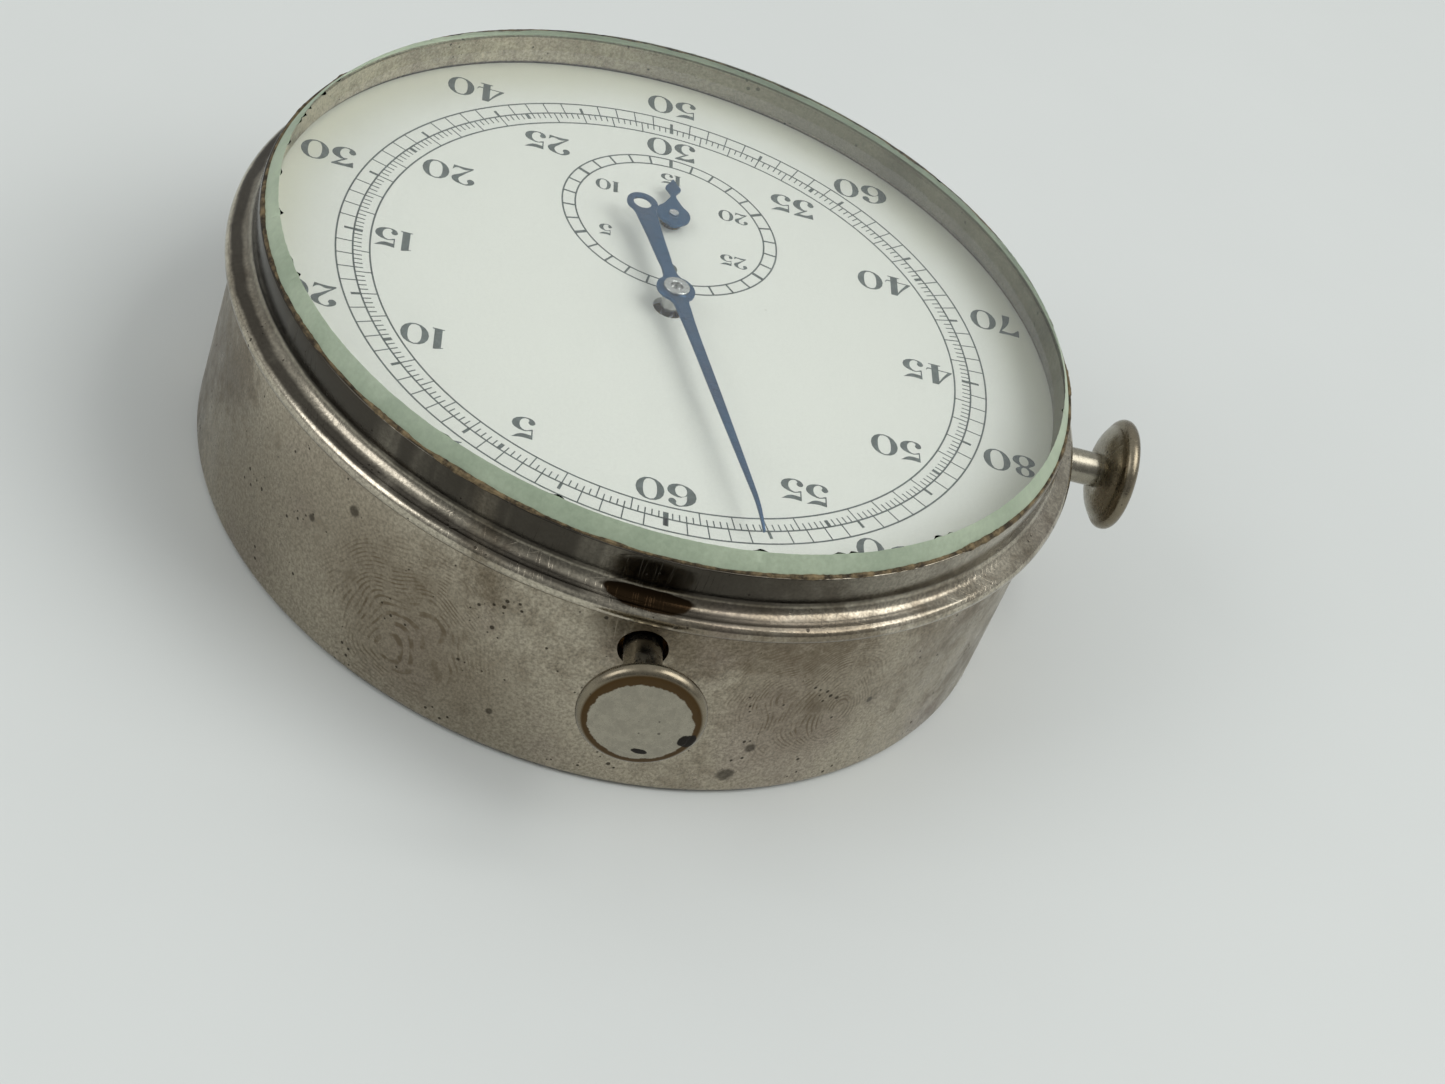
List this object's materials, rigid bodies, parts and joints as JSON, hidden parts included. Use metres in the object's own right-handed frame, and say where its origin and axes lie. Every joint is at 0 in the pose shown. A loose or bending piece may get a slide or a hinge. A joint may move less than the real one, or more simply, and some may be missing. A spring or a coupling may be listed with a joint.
{
  "type": "mechanical stopwatch",
  "caption": "Round drum-cased mechanical stopwatch with flat glass, silvered dial, sweep seconds hand, small minute register and two side push-pieces.",
  "frame": {"origin": "centre of the flat case back", "axes": "+Z out of the dial through the glass, +Y towards twelve o'clock and the start push-piece, +X towards three o'clock"},
  "size_m": [0.0655, 0.0655, 0.0202],
  "materials": {
    "worn_nickel": "worn nickel plate on brass, satin with tarnish",
    "push_nickel": "polished nickel worn to brass at the rim",
    "crystal_glass": "flat mineral glass with a ground edge",
    "silvered_dial": "matt silvered with printed scales",
    "blued_steel": "blued",
    "hand_pipe": "polished",
    "plate_brass": "grained and gilt",
    "wheel_brass": "circular grained",
    "bright_steel": "straight grained",
    "screw_steel": "polished",
    "spring_steel": "blued spring steel",
    "ruby": "polished synthetic ruby"
  },
  "bodies": {
    "case": {"case_drum": "worn_nickel", "bezel_ring": "worn_nickel", "crystal": "crystal_glass", "movement_ring": "plate_brass", "dial_ring": "plate_brass", "frame_screws": "screw_steel", "dial": "silvered_dial", "jewels": "ruby", "pillars": "plate_brass", "movement_screws": "screw_steel", "main_plate": "plate_brass", "back_plate": "plate_brass", "balance_cock": "plate_brass", "lever_studs": "screw_steel", "click_spring": "spring_steel", "start_lever_spring": "spring_steel", "hammer_spring": "spring_steel", "brake_spring": "spring_steel", "pusher_guides": "plate_brass", "hairspring": "spring_steel"},
    "sweep": {"seconds_hand": "blued_steel", "seconds_hand_pipe": "hand_pipe", "centre_arbor": "bright_steel", "centre_wheel": "wheel_brass", "seconds_heart": "bright_steel"},
    "register": {"minute_hand": "blued_steel", "minute_arbor": "bright_steel", "minute_wheel": "wheel_brass", "minute_heart": "bright_steel"},
    "idler": {"register_idler": "wheel_brass"},
    "third": {"third_wheel": "wheel_brass", "third_arbor": "bright_steel"},
    "second": {"second_wheel": "wheel_brass", "second_arbor": "bright_steel"},
    "barrel": {"barrel": "wheel_brass", "barrel_cover": "wheel_brass", "mainspring": "spring_steel"},
    "winding": {"barrel_arbor": "bright_steel", "ratchet_wheel": "bright_steel"},
    "escape": {"escape_wheel": "bright_steel", "escape_arbor": "bright_steel"},
    "fork": {"pallet_fork": "bright_steel", "pallet_stones": "ruby", "pallet_arbor": "bright_steel"},
    "balance": {"balance_wheel": "wheel_brass", "balance_staff": "bright_steel", "roller": "bright_steel"},
    "click": {"click": "bright_steel"},
    "start_pusher": {"start_pusher_cap": "push_nickel", "start_pusher_stem": "push_nickel", "start_pusher_screw": "bright_steel"},
    "reset_pusher": {"reset_pusher_cap": "push_nickel", "reset_pusher_stem": "push_nickel", "reset_pusher_screw": "bright_steel"},
    "start_lever": {"start_lever": "bright_steel", "column_wheel_hook": "bright_steel", "winding_pawl": "bright_steel"},
    "column": {"column_wheel": "bright_steel"},
    "brake": {"brake_lever": "bright_steel"},
    "hammer": {"reset_hammer": "bright_steel"}
  },
  "joints": [
    {"name": "sweep_spin", "type": "hinge", "parent": "case", "child": "sweep", "pos_m": [0, 0, 0.0065], "axis": [0, 0, -1], "continuous": true},
    {"name": "register_spin", "type": "hinge", "parent": "case", "child": "register", "pos_m": [0, -0.00991, 0.0134], "axis": [0, 0, -1], "continuous": true},
    {"name": "idler_spin", "type": "hinge", "parent": "case", "child": "idler", "pos_m": [0.00157, -0.00454, 0.014], "axis": [0, 0, -1], "continuous": true},
    {"name": "third_spin", "type": "hinge", "parent": "case", "child": "third", "pos_m": [0.00737, 0.0013, 0.0065], "axis": [0, 0, -1], "continuous": true},
    {"name": "second_spin", "type": "hinge", "parent": "case", "child": "second", "pos_m": [0.00877, 0.00932, 0.0065], "axis": [0, 0, -1], "continuous": true},
    {"name": "barrel_spin", "type": "hinge", "parent": "case", "child": "barrel", "pos_m": [0.00223, 0.01584, 0.006], "axis": [0, 0, -1], "continuous": true, "deforming": ["mainspring"]},
    {"name": "escape_spin", "type": "hinge", "parent": "case", "child": "escape", "pos_m": [-0.00352, -0.0061, 0.007], "axis": [0, 0, -1], "continuous": true},
    {"name": "balance_swing", "type": "hinge", "parent": "case", "child": "balance", "pos_m": [-0.01457, -0.01012, 0.006], "axis": [0, 0, 1], "range_deg": [-28, 28], "stiffness_Nm_per_rad": 0.0000005, "deforming": ["hairspring"]},
    {"name": "fork_swing", "type": "hinge", "parent": "case", "child": "fork", "pos_m": [-0.00743, -0.00752, 0.007], "axis": [0, 0, 1], "range_deg": [-4.8, 4.8]},
    {"name": "start_push", "type": "slide", "parent": "case", "child": "start_pusher", "axis": [0, -1, 0], "range_m": [0, 0.0025], "stiffness_N_per_m": 300, "springref_m": -0.002, "deforming": ["start_lever_spring", "brake_spring"]},
    {"name": "start_lever_swing", "type": "hinge", "parent": "case", "child": "start_lever", "pos_m": [-0.015, 0.018, 0.0125], "axis": [0, 0, 1], "range_deg": [-9.6, 0]},
    {"name": "column_step", "type": "hinge", "parent": "case", "child": "column", "pos_m": [-0.0092, 0.0166, 0.012], "axis": [0, 0, 1], "range_deg": [-30.1, 0]},
    {"name": "winding_turn", "type": "hinge", "parent": "case", "child": "winding", "pos_m": [0.00223, 0.01584, 0.011], "axis": [0, 0, 1], "range_deg": [-51.5, 0]},
    {"name": "brake_swing", "type": "hinge", "parent": "case", "child": "brake", "pos_m": [-0.0162, 0.0075, 0.0125], "axis": [0, 0, 1], "range_deg": [-4.1, 0]},
    {"name": "reset_push", "type": "slide", "parent": "case", "child": "reset_pusher", "axis": [1, 0, 0], "range_m": [0, 0.002], "stiffness_N_per_m": 300, "springref_m": -0.002, "deforming": ["hammer_spring"]},
    {"name": "hammer_swing", "type": "hinge", "parent": "case", "child": "hammer", "pos_m": [-0.014, -0.018, 0.0122], "axis": [0, 0, 1], "range_deg": [-6.4, 0]},
    {"name": "click_lift", "type": "hinge", "parent": "case", "child": "click", "pos_m": [-0.0031, 0.01212, 0.011], "axis": [0, 0, 1], "range_deg": [0, 10], "stiffness_Nm_per_rad": 0.0002, "springref_deg": -5.73, "deforming": ["click_spring"]}
  ],
  "couplings": [
    {"joint": "register_spin", "follows": "sweep_spin", "ratio": 0.033333},
    {"joint": "idler_spin", "follows": "sweep_spin", "ratio": -0.2},
    {"joint": "third_spin", "follows": "sweep_spin", "ratio": -0.13333},
    {"joint": "second_spin", "follows": "sweep_spin", "ratio": 0.020833},
    {"joint": "barrel_spin", "follows": "sweep_spin", "ratio": -0.0034722},
    {"joint": "escape_spin", "follows": "sweep_spin", "ratio": -10},
    {"joint": "fork_swing", "follows": "balance_swing", "ratio": -0.16923},
    {"joint": "start_lever_swing", "follows": "start_push", "rad_per_m": -66.667},
    {"joint": "column_step", "follows": "start_push", "rad_per_m": -209.44},
    {"joint": "winding_turn", "follows": "start_push", "rad_per_m": -359.04},
    {"joint": "brake_swing", "follows": "start_push", "rad_per_m": -28},
    {"joint": "hammer_swing", "follows": "reset_push", "rad_per_m": -55.556}
  ]
}
